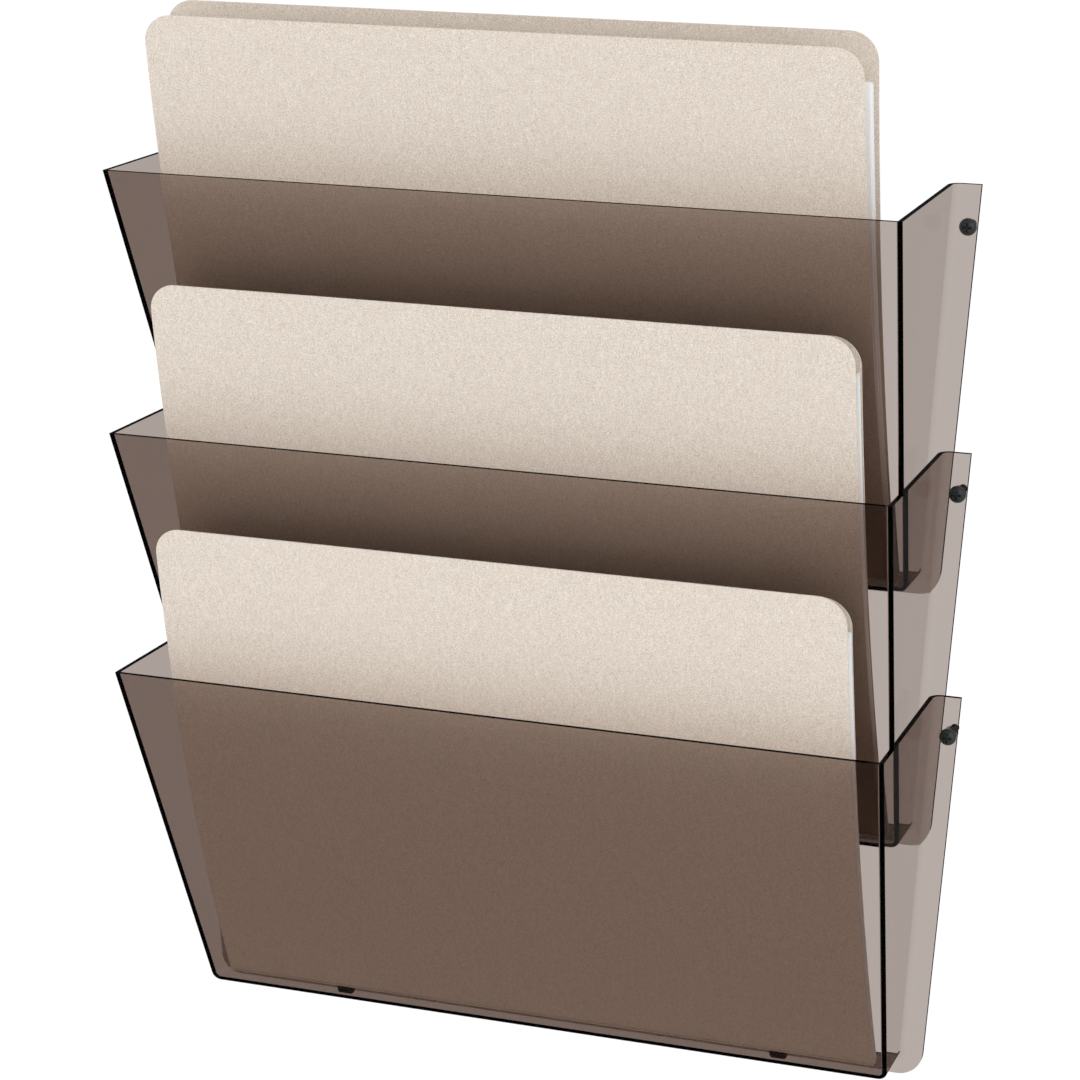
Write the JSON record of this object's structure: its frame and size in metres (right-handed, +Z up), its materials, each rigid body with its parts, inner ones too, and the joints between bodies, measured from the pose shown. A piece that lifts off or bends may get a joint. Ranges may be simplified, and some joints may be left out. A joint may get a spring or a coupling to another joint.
{
  "type": "wall file pocket set",
  "caption": "Wall-hung tiered file pockets of smoke-tinted clear plastic, lapped one below another, with manila folders and papers standing in them.",
  "frame": {"origin": "on the wall plane, midway between the two upper wall screws", "axes": "+X to the reader's right, -Y out of the wall towards the reader, +Z up"},
  "size_m": [0.348, 0.1043, 0.4465],
  "materials": {
    "smoke_plastic": "clear smoke tint, polished",
    "black_steel": "black, satin",
    "black_rubber": "matt black",
    "manila": "uncoated card",
    "paper": "uncoated white"
  },
  "bodies": {
    "frame": {"top_pocket": "smoke_plastic", "top_screw_left": "black_steel", "top_screw_right": "black_steel", "top_clip_left": "black_rubber", "top_clip_right": "black_rubber", "middle_pocket": "smoke_plastic", "middle_screw_left": "black_steel", "middle_screw_right": "black_steel", "middle_clip_left": "black_rubber", "middle_clip_right": "black_rubber", "middle_spacer_left": "smoke_plastic", "middle_spacer_right": "smoke_plastic", "bottom_pocket": "smoke_plastic", "bottom_screw_left": "black_steel", "bottom_screw_right": "black_steel", "bottom_clip_left": "black_rubber", "bottom_clip_right": "black_rubber", "bottom_spacer_left": "smoke_plastic", "bottom_spacer_right": "smoke_plastic"},
    "top_folder": {"top_folder_back": "manila", "top_papers_front": "paper", "top_papers_rear": "paper"},
    "top_leaf": {"top_folder_front": "manila"},
    "middle_folder": {"middle_folder_back": "manila", "middle_papers_front": "paper", "middle_papers_rear": "paper"},
    "middle_leaf": {"middle_folder_front": "manila"},
    "bottom_folder": {"bottom_folder_back": "manila", "bottom_papers_front": "paper", "bottom_papers_rear": "paper"},
    "bottom_leaf": {"bottom_folder_front": "manila"}
  },
  "joints": [
    {"name": "top_folder_lift", "type": "slide", "parent": "frame", "child": "top_folder", "axis": [0, -0.3647, 0.9311], "range_m": [0, 0.18]},
    {"name": "top_leaf_open", "type": "hinge", "parent": "top_folder", "child": "top_leaf", "pos_m": [0, -0.0189, -0.14115], "axis": [1, 0, 0], "range_deg": [0, 4.5], "stiffness_Nm_per_rad": 0.15},
    {"name": "middle_folder_lift", "type": "slide", "parent": "frame", "child": "middle_folder", "axis": [0, -0.3647, 0.9311], "range_m": [0, 0.18]},
    {"name": "middle_leaf_open", "type": "hinge", "parent": "middle_folder", "child": "middle_leaf", "pos_m": [0, -0.0212, -0.24945], "axis": [1, 0, 0], "range_deg": [0, 4.5], "stiffness_Nm_per_rad": 0.15},
    {"name": "bottom_folder_lift", "type": "slide", "parent": "frame", "child": "bottom_folder", "axis": [0, -0.3647, 0.9311], "range_m": [0, 0.18]},
    {"name": "bottom_leaf_open", "type": "hinge", "parent": "bottom_folder", "child": "bottom_leaf", "pos_m": [0, -0.0235, -0.35155], "axis": [1, 0, 0], "range_deg": [0, 4.5], "stiffness_Nm_per_rad": 0.15}
  ]
}
